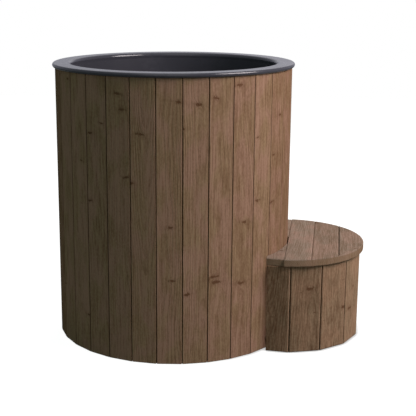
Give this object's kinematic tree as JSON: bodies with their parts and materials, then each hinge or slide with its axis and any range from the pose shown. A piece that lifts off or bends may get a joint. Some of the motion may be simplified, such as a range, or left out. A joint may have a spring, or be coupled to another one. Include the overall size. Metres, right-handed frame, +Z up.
{
  "type": "cold plunge tub",
  "caption": "Tall round cold plunge tub: dark moulded liner with a rolled rim in a ring of upright timber staves, with a bottom drain and a round timber step nested against its side.",
  "frame": {"origin": "the tub's axis at floor level, on the underside of the base frame's middle joist", "axes": "+Z up along the tub's axis, +X level from the tub's axis to the step's axis, +Y to the back, where the drain valve is"},
  "size_m": [1.1745, 1.0011, 1.025],
  "materials": {
    "stave_timber": "heat-treated softwood, planed and oiled",
    "step_timber": "heat-treated softwood, planed and oiled",
    "frame_timber": "planed, pressure-treated softwood",
    "plywood": "exterior plywood, unpainted",
    "foam": "closed-cell foam sheet",
    "liner_plastic": "moulded anthracite plastic, semi-gloss",
    "fitting_plastic": "moulded grey pipe plastic",
    "seal_rubber": "black rubber",
    "valve_brass": "turned brass",
    "ball_chrome": "polished chrome",
    "lever_paint": "powder-coated steel"
  },
  "bodies": {
    "tub": {"liner": "liner_plastic", "stave_01": "stave_timber", "stave_02": "stave_timber", "stave_03": "stave_timber", "stave_04": "stave_timber", "stave_05": "stave_timber", "stave_06": "stave_timber", "stave_07": "stave_timber", "stave_08": "stave_timber", "stave_09": "stave_timber", "stave_10": "stave_timber", "stave_11": "stave_timber", "stave_12": "stave_timber", "stave_13": "stave_timber", "stave_14": "stave_timber", "stave_15": "stave_timber", "stave_16": "stave_timber", "stave_17": "stave_timber", "stave_18": "stave_timber", "stave_19": "stave_timber", "stave_20": "stave_timber", "stave_21": "stave_timber", "stave_22": "stave_timber", "stave_23": "stave_timber", "stave_24": "stave_timber", "stave_25": "stave_timber", "stave_26": "stave_timber", "stave_27": "stave_timber", "stave_28": "stave_timber", "stave_29": "stave_timber", "closing_stave": "stave_timber", "upper_hoop": "plywood", "middle_hoop": "plywood", "insulation_wrap": "foam", "base_board": "plywood", "base_frame": "frame_timber", "drain_flange": "fitting_plastic", "drain_gasket": "seal_rubber", "drain_locknut": "fitting_plastic", "drain_pipe": "fitting_plastic", "valve_body": "valve_brass"},
    "valve_handle": {"valve_lever": "lever_paint", "valve_ball": "ball_chrome"},
    "strainer": {"drain_strainer": "fitting_plastic"},
    "step": {"step_stave_1": "step_timber", "step_stave_2": "step_timber", "step_stave_3": "step_timber", "step_stave_4": "step_timber", "step_stave_5": "step_timber", "step_stave_6": "step_timber", "step_stave_7": "step_timber", "step_stave_8": "step_timber", "step_stave_9": "step_timber", "tread_front_corner": "step_timber", "tread_back_corner": "step_timber", "tread_inner": "step_timber", "tread_middle": "step_timber", "tread_outer": "step_timber", "step_upper_former": "plywood", "step_lower_former": "plywood"}
  },
  "joints": [
    {"name": "valve_turn", "type": "hinge", "parent": "tub", "child": "valve_handle", "pos_m": [-0.02556, 0.48781, 0.04], "axis": [0, 0, 1], "range_deg": [0, 90]},
    {"name": "strainer_lift", "type": "slide", "parent": "tub", "child": "strainer", "axis": [0, 0, 1], "range_m": [0, 0.95]},
    {"name": "step_pull", "type": "slide", "parent": "tub", "child": "step", "axis": [1, 0, 0], "range_m": [0, 0.4]}
  ]
}
